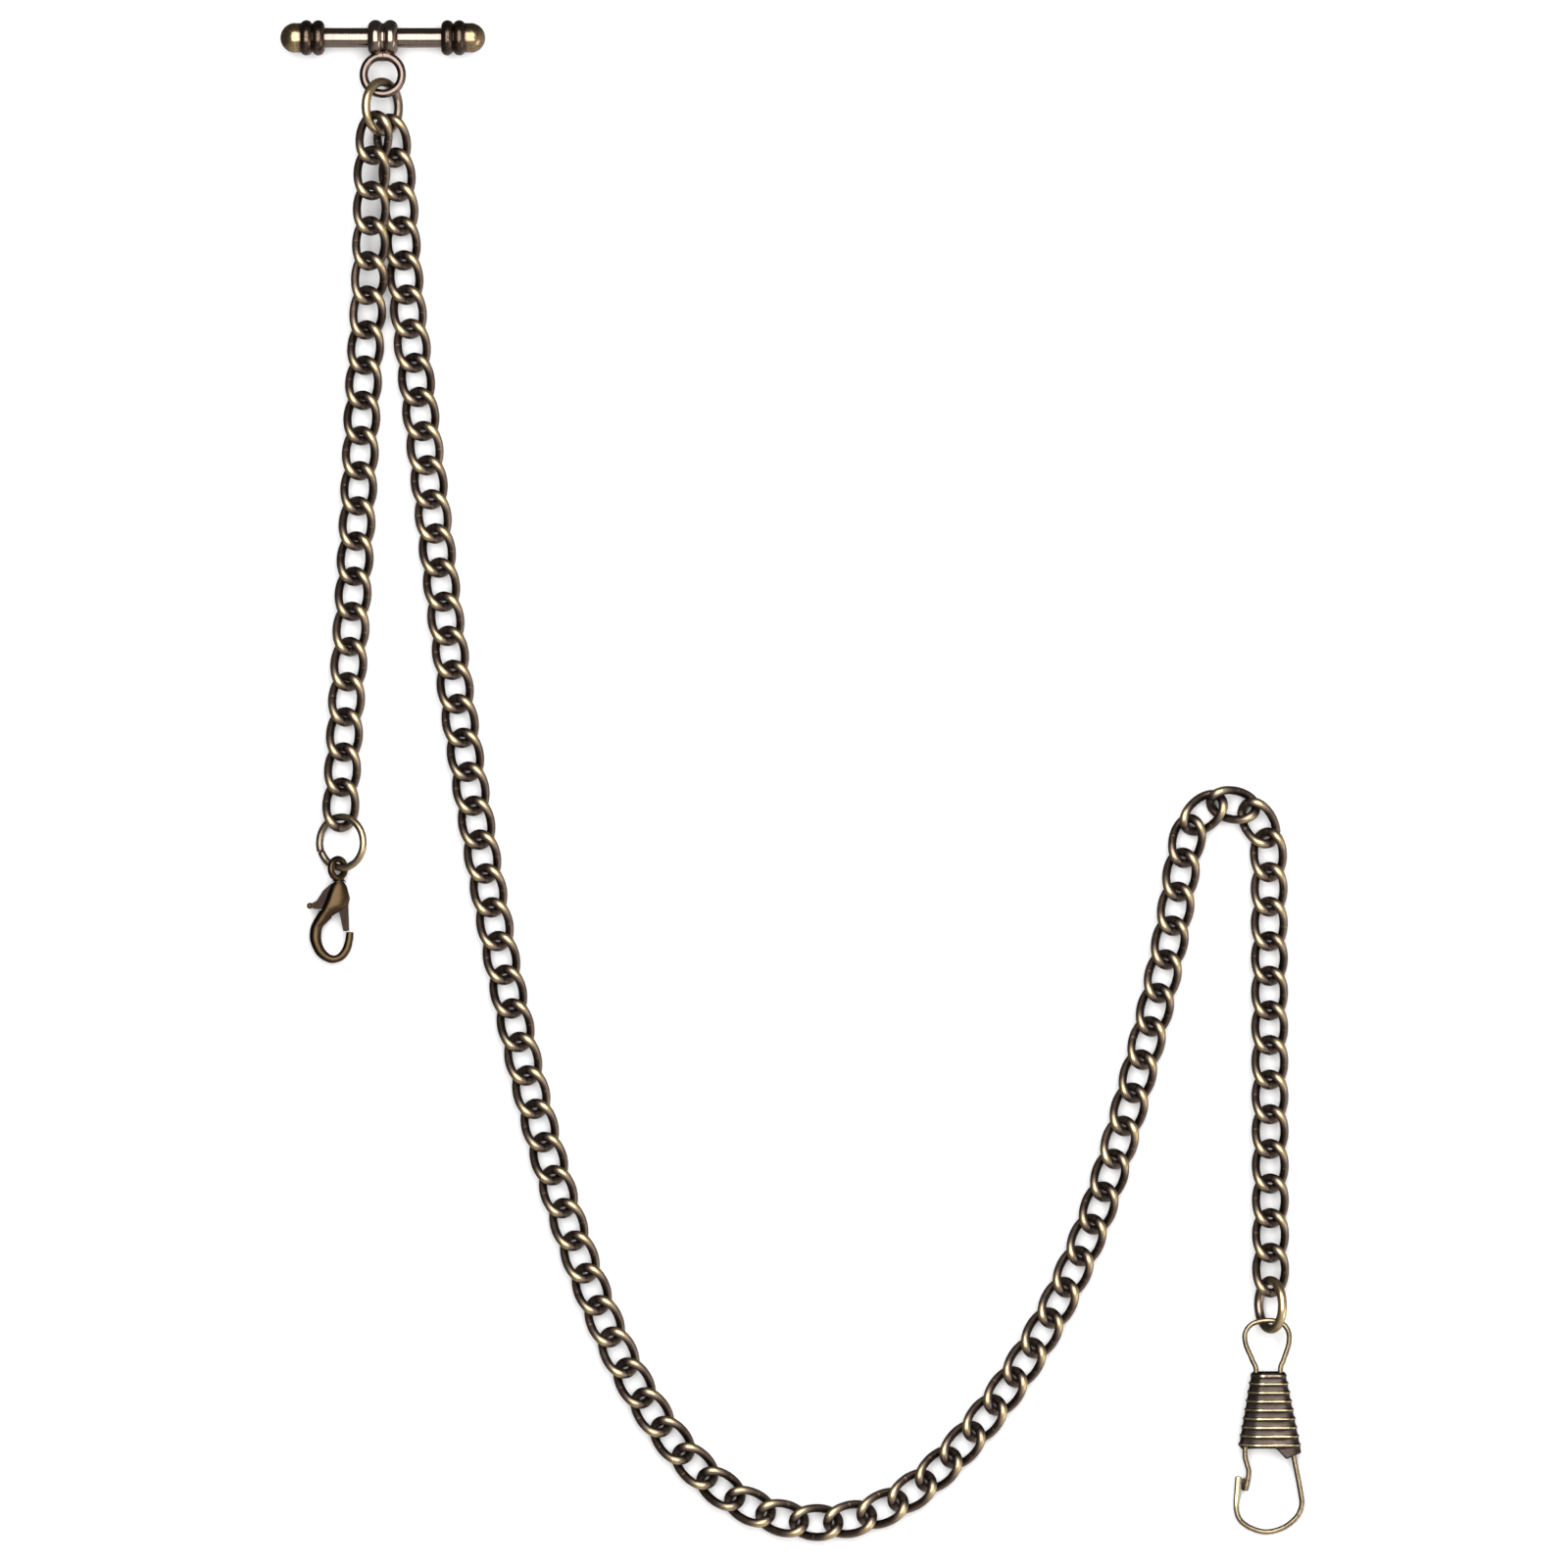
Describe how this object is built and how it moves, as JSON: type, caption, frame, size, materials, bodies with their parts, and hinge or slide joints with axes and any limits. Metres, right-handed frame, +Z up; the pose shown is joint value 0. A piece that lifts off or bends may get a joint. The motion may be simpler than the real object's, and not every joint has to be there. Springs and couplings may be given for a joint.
{
  "type": "pocket watch chain",
  "caption": "Double-ended Albert pocket watch chain: T-bar for a buttonhole, a short curb chain with a lobster clasp and a long curb chain with a ribbed wire clip.",
  "frame": {"origin": "middle of the bounding box on the table that the chain lies on", "axes": "+Z up from the table, +Y from the bight of the long chain to the T-bar, +X from the T-bar to the watch clip"},
  "size_m": [0.12, 0.1783, 0.0062],
  "materials": {
    "bar_brass": "polished antique brass, dark in the grooves",
    "ring_brass": "antique brass, rubbed bright on the outside",
    "chain_brass": "antique brass, blackened recesses and bright high spots",
    "clasp_brass": "satin antique brass casting, brown",
    "sleeve_brass": "pressed sheet, dark with bright rib crests",
    "wire_brass": "light antique brass spring wire",
    "spring_steel": "bare spring wire"
  },
  "bodies": {
    "t_bar": {"t_bar_rod": "bar_brass", "t_bar_collar": "bar_brass", "t_bar_left_knob": "bar_brass", "t_bar_right_knob": "bar_brass", "t_bar_ring": "bar_brass"},
    "connecting_ring": {"connecting_ring": "ring_brass"},
    "short_chain_01": {"short_chain_01": "chain_brass"},
    "short_chain_02": {"short_chain_02": "chain_brass"},
    "short_chain_03": {"short_chain_03": "chain_brass"},
    "short_chain_04": {"short_chain_04": "chain_brass"},
    "short_chain_05": {"short_chain_05": "chain_brass"},
    "short_chain_06": {"short_chain_06": "chain_brass"},
    "short_chain_07": {"short_chain_07": "chain_brass"},
    "short_chain_08": {"short_chain_08": "chain_brass"},
    "short_chain_09": {"short_chain_09": "chain_brass"},
    "short_chain_10": {"short_chain_10": "chain_brass"},
    "short_chain_end_ring": {"short_chain_end_ring": "ring_brass"},
    "clasp": {"clasp_body": "clasp_brass", "clasp_rivet": "clasp_brass", "clasp_spring": "spring_steel"},
    "clasp_lever": {"clasp_lever": "clasp_brass"},
    "long_chain_01": {"long_chain_01": "chain_brass"},
    "long_chain_02": {"long_chain_02": "chain_brass"},
    "long_chain_03": {"long_chain_03": "chain_brass"},
    "long_chain_04": {"long_chain_04": "chain_brass"},
    "long_chain_05": {"long_chain_05": "chain_brass"},
    "long_chain_06": {"long_chain_06": "chain_brass"},
    "long_chain_07": {"long_chain_07": "chain_brass"},
    "long_chain_08": {"long_chain_08": "chain_brass"},
    "long_chain_09": {"long_chain_09": "chain_brass"},
    "long_chain_10": {"long_chain_10": "chain_brass"},
    "long_chain_11": {"long_chain_11": "chain_brass"},
    "long_chain_12": {"long_chain_12": "chain_brass"},
    "long_chain_13": {"long_chain_13": "chain_brass"},
    "long_chain_14": {"long_chain_14": "chain_brass"},
    "long_chain_15": {"long_chain_15": "chain_brass"},
    "long_chain_16": {"long_chain_16": "chain_brass"},
    "long_chain_17": {"long_chain_17": "chain_brass"},
    "long_chain_18": {"long_chain_18": "chain_brass"},
    "long_chain_19": {"long_chain_19": "chain_brass"},
    "long_chain_20": {"long_chain_20": "chain_brass"},
    "long_chain_21": {"long_chain_21": "chain_brass"},
    "long_chain_22": {"long_chain_22": "chain_brass"},
    "long_chain_23": {"long_chain_23": "chain_brass"},
    "long_chain_24": {"long_chain_24": "chain_brass"},
    "long_chain_25": {"long_chain_25": "chain_brass"},
    "long_chain_26": {"long_chain_26": "chain_brass"},
    "long_chain_27": {"long_chain_27": "chain_brass"},
    "long_chain_28": {"long_chain_28": "chain_brass"},
    "long_chain_29": {"long_chain_29": "chain_brass"},
    "long_chain_30": {"long_chain_30": "chain_brass"},
    "long_chain_31": {"long_chain_31": "chain_brass"},
    "long_chain_32": {"long_chain_32": "chain_brass"},
    "long_chain_end_ring": {"long_chain_end_ring": "ring_brass"},
    "clip": {"clip_sleeve": "sleeve_brass", "clip_frame_wire": "wire_brass"},
    "clip_gate": {"clip_gate_wire": "wire_brass"}
  },
  "joints": [
    {"name": "connecting_ring_swing", "type": "hinge", "parent": "t_bar", "child": "connecting_ring", "pos_m": [-0.0481, 0.0816, 0.00255], "axis": [0.6293, 0, -0.7771], "range_deg": [-25, 25]},
    {"name": "short_chain_01_link", "type": "hinge", "parent": "connecting_ring", "child": "short_chain_01", "pos_m": [-0.0488, 0.0773, 0.00425], "axis": [-0.9948, 0.102, 0], "range_deg": [0, 25]},
    {"name": "short_chain_02_link", "type": "hinge", "parent": "short_chain_01", "child": "short_chain_02", "pos_m": [-0.04932, 0.06906, 0.00412], "axis": [0, 0, -1], "range_deg": [0, 25]},
    {"name": "short_chain_03_link", "type": "hinge", "parent": "short_chain_02", "child": "short_chain_03", "pos_m": [-0.04952, 0.06086, 0.00329], "axis": [0.9993, -0.0368, 0], "range_deg": [-25, 0]},
    {"name": "short_chain_04_link", "type": "hinge", "parent": "short_chain_03", "child": "short_chain_04", "pos_m": [-0.04995, 0.05283, 0.00143], "axis": [0, 0, 1], "range_deg": [-25, 10]},
    {"name": "short_chain_05_link", "type": "hinge", "parent": "short_chain_04", "child": "short_chain_05", "pos_m": [-0.05044, 0.04458, 0.00139], "axis": [-0.9988, 0.0489, 0], "range_deg": [-25, 25]},
    {"name": "short_chain_06_link", "type": "hinge", "parent": "short_chain_05", "child": "short_chain_06", "pos_m": [-0.0508, 0.03633, 0.00136], "axis": [0, 0, -1], "range_deg": [-10, 25]},
    {"name": "short_chain_07_link", "type": "hinge", "parent": "short_chain_06", "child": "short_chain_07", "pos_m": [-0.0512, 0.02808, 0.00136], "axis": [0.9986, -0.0534, 0], "range_deg": [-25, 25]},
    {"name": "short_chain_08_link", "type": "hinge", "parent": "short_chain_07", "child": "short_chain_08", "pos_m": [-0.05168, 0.01983, 0.00137], "axis": [0, 0, 1], "range_deg": [-25, 20]},
    {"name": "short_chain_09_link", "type": "hinge", "parent": "short_chain_08", "child": "short_chain_09", "pos_m": [-0.05219, 0.01159, 0.00132], "axis": [-0.998, 0.0626, 0], "range_deg": [-25, 25]},
    {"name": "short_chain_10_link", "type": "hinge", "parent": "short_chain_09", "child": "short_chain_10", "pos_m": [-0.05269, 0.00334, 0.00133], "axis": [0, 0, -1], "range_deg": [-25, 25]},
    {"name": "long_chain_01_link", "type": "hinge", "parent": "connecting_ring", "child": "long_chain_01", "pos_m": [-0.04735, 0.077, 0.00155], "axis": [0.9834, 0.1814, 0], "range_deg": [0, 25]},
    {"name": "long_chain_02_link", "type": "hinge", "parent": "long_chain_01", "child": "long_chain_02", "pos_m": [-0.04594, 0.06501, 0.00134], "axis": [0, 0, 1], "range_deg": [0, 25]},
    {"name": "long_chain_03_link", "type": "hinge", "parent": "long_chain_02", "child": "long_chain_03", "pos_m": [-0.04487, 0.05297, 0.00139], "axis": [-0.9935, -0.1136, 0], "range_deg": [-25, 25]},
    {"name": "long_chain_04_link", "type": "hinge", "parent": "long_chain_03", "child": "long_chain_04", "pos_m": [-0.04338, 0.04097, 0.00136], "axis": [0, 0, -1], "range_deg": [-25, 10]},
    {"name": "long_chain_05_link", "type": "hinge", "parent": "long_chain_04", "child": "long_chain_05", "pos_m": [-0.04194, 0.02897, 0.00135], "axis": [0.9928, 0.1199, 0], "range_deg": [-25, 25]},
    {"name": "long_chain_06_link", "type": "hinge", "parent": "long_chain_05", "child": "long_chain_06", "pos_m": [-0.04043, 0.01697, 0.00136], "axis": [0, 0, 1], "range_deg": [-20, 25]},
    {"name": "long_chain_07_link", "type": "hinge", "parent": "long_chain_06", "child": "long_chain_07", "pos_m": [-0.03871, 0.00501, 0.00136], "axis": [-0.9883, -0.1526, 0], "range_deg": [-25, 25]},
    {"name": "long_chain_08_link", "type": "hinge", "parent": "long_chain_07", "child": "long_chain_08", "pos_m": [-0.03675, -0.00692, 0.00136], "axis": [0, 0, -1], "range_deg": [-25, 25]},
    {"name": "long_chain_09_link", "type": "hinge", "parent": "long_chain_08", "child": "long_chain_09", "pos_m": [-0.03457, -0.01881, 0.00136], "axis": [0.9815, 0.1915, 0], "range_deg": [-25, 25]},
    {"name": "long_chain_10_link", "type": "hinge", "parent": "long_chain_09", "child": "long_chain_10", "pos_m": [-0.03209, -0.03064, 0.00136], "axis": [0, 0, 1], "range_deg": [-25, 25]},
    {"name": "long_chain_11_link", "type": "hinge", "parent": "long_chain_10", "child": "long_chain_11", "pos_m": [-0.02917, -0.04238, 0.00136], "axis": [-0.9648, -0.2631, 0], "range_deg": [-25, 25]},
    {"name": "long_chain_12_link", "type": "hinge", "parent": "long_chain_11", "child": "long_chain_12", "pos_m": [-0.02566, -0.05394, 0.00136], "axis": [0, 0, -1], "range_deg": [-25, 25]},
    {"name": "long_chain_13_link", "type": "hinge", "parent": "long_chain_12", "child": "long_chain_13", "pos_m": [-0.02129, -0.06521, 0.00136], "axis": [0.9116, 0.411, 0], "range_deg": [-25, 25]},
    {"name": "long_chain_14_link", "type": "hinge", "parent": "long_chain_13", "child": "long_chain_14", "pos_m": [-0.01538, -0.07574, 0.00136], "axis": [0, 0, 1], "range_deg": [-25, 25]},
    {"name": "long_chain_15_link", "type": "hinge", "parent": "long_chain_14", "child": "long_chain_15", "pos_m": [-0.00682, -0.08419, 0.00136], "axis": [-0.5241, -0.8517, 0], "range_deg": [-25, 25]},
    {"name": "long_chain_16_link", "type": "hinge", "parent": "long_chain_15", "child": "long_chain_16", "pos_m": [0.00473, -0.08702, 0.00136], "axis": [0, 0, -1], "range_deg": [-25, 25]},
    {"name": "long_chain_17_link", "type": "hinge", "parent": "long_chain_16", "child": "long_chain_17", "pos_m": [0.01562, -0.08218, 0.00136], "axis": [-0.6374, 0.7705, 0], "range_deg": [-25, 25]},
    {"name": "long_chain_18_link", "type": "hinge", "parent": "long_chain_17", "child": "long_chain_18", "pos_m": [0.02373, -0.07324, 0.00136], "axis": [0, 0, 1], "range_deg": [-25, 25]},
    {"name": "long_chain_19_link", "type": "hinge", "parent": "long_chain_18", "child": "long_chain_19", "pos_m": [0.0302, -0.06304, 0.00136], "axis": [0.8821, -0.471, 0], "range_deg": [-25, 25]},
    {"name": "long_chain_20_link", "type": "hinge", "parent": "long_chain_19", "child": "long_chain_20", "pos_m": [0.03516, -0.05202, 0.00136], "axis": [0, 0, -1], "range_deg": [-25, 25]},
    {"name": "long_chain_21_link", "type": "hinge", "parent": "long_chain_20", "child": "long_chain_21", "pos_m": [0.03885, -0.04051, 0.00136], "axis": [-0.9626, 0.2709, 0], "range_deg": [-25, 25]},
    {"name": "long_chain_22_link", "type": "hinge", "parent": "long_chain_21", "child": "long_chain_22", "pos_m": [0.04195, -0.02883, 0.00136], "axis": [0, 0, 1], "range_deg": [-25, 25]},
    {"name": "long_chain_23_link", "type": "hinge", "parent": "long_chain_22", "child": "long_chain_23", "pos_m": [0.04454, -0.01702, 0.00136], "axis": [0.9847, -0.1743, 0], "range_deg": [-25, 25]},
    {"name": "long_chain_24_link", "type": "hinge", "parent": "long_chain_23", "child": "long_chain_24", "pos_m": [0.04578, -0.00906, 0.00136], "axis": [0, 0, -1], "range_deg": [-25, 20]},
    {"name": "long_chain_25_link", "type": "hinge", "parent": "long_chain_24", "child": "long_chain_25", "pos_m": [0.04661, -0.00511, 0.00136], "axis": [0, 0, 1], "range_deg": [-15, 25]},
    {"name": "long_chain_26_link", "type": "hinge", "parent": "long_chain_25", "child": "long_chain_26", "pos_m": [0.04966, -0.00247, 0.00136], "axis": [0, 0, -1], "range_deg": [-25, 0]},
    {"name": "long_chain_27_link", "type": "hinge", "parent": "long_chain_26", "child": "long_chain_27", "pos_m": [0.05361, -0.00324, 0.00136], "axis": [0, 0, 1], "range_deg": [-5, 25]},
    {"name": "long_chain_28_link", "type": "hinge", "parent": "long_chain_27", "child": "long_chain_28", "pos_m": [0.05569, -0.00669, 0.00136], "axis": [0, 0, -1], "range_deg": [-25, 15]},
    {"name": "long_chain_29_link", "type": "hinge", "parent": "long_chain_28", "child": "long_chain_29", "pos_m": [0.05583, -0.01072, 0.00136], "axis": [0.9998, 0.0192, 0], "range_deg": [-25, 25]},
    {"name": "long_chain_30_link", "type": "hinge", "parent": "long_chain_29", "child": "long_chain_30", "pos_m": [0.05587, -0.02289, 0.00154], "axis": [0, 0, 1], "range_deg": [-25, 25]},
    {"name": "long_chain_31_link", "type": "hinge", "parent": "long_chain_30", "child": "long_chain_31", "pos_m": [0.05591, -0.03506, 0.00173], "axis": [-1, -0.0035, 0], "range_deg": [-25, 25]},
    {"name": "long_chain_32_link", "type": "hinge", "parent": "long_chain_31", "child": "long_chain_32", "pos_m": [0.05596, -0.04723, 0.00192], "axis": [0, 0, -1], "range_deg": [-25, 25]},
    {"name": "short_chain_end_ring_swing", "type": "hinge", "parent": "short_chain_10", "child": "short_chain_end_ring", "pos_m": [-0.05309, -0.0049, 0.00158], "axis": [0, 0, 1], "range_deg": [-25, 25]},
    {"name": "clasp_swing", "type": "hinge", "parent": "short_chain_end_ring", "child": "clasp", "pos_m": [-0.0532, -0.01023, 0.00177], "axis": [-0.866, 0, -0.5], "range_deg": [-25, 25]},
    {"name": "long_chain_end_ring_swing", "type": "hinge", "parent": "long_chain_32", "child": "long_chain_end_ring", "pos_m": [0.05595, -0.05915, 0.0021], "axis": [1, 0, 0], "range_deg": [-25, 10]},
    {"name": "clip_swing", "type": "hinge", "parent": "long_chain_end_ring", "child": "clip", "pos_m": [0.05551, -0.06363, 0.00292], "axis": [-1, 0, 0], "range_deg": [-25, 25]},
    {"name": "clasp_lever_pivot", "type": "hinge", "parent": "clasp", "child": "clasp_lever", "pos_m": [-0.05325, -0.01341, 0.0012], "axis": [0, 0, 1], "range_deg": [-20, 0], "stiffness_Nm_per_rad": 0.01, "springref_deg": 5.73},
    {"name": "clip_gate_flex", "type": "hinge", "parent": "clip", "child": "clip_gate", "pos_m": [0.05307, -0.07775, 0.00143], "axis": [0, -0.1045, 0.9945], "range_deg": [0, 12], "stiffness_Nm_per_rad": 0.01, "springref_deg": -5.73}
  ]
}
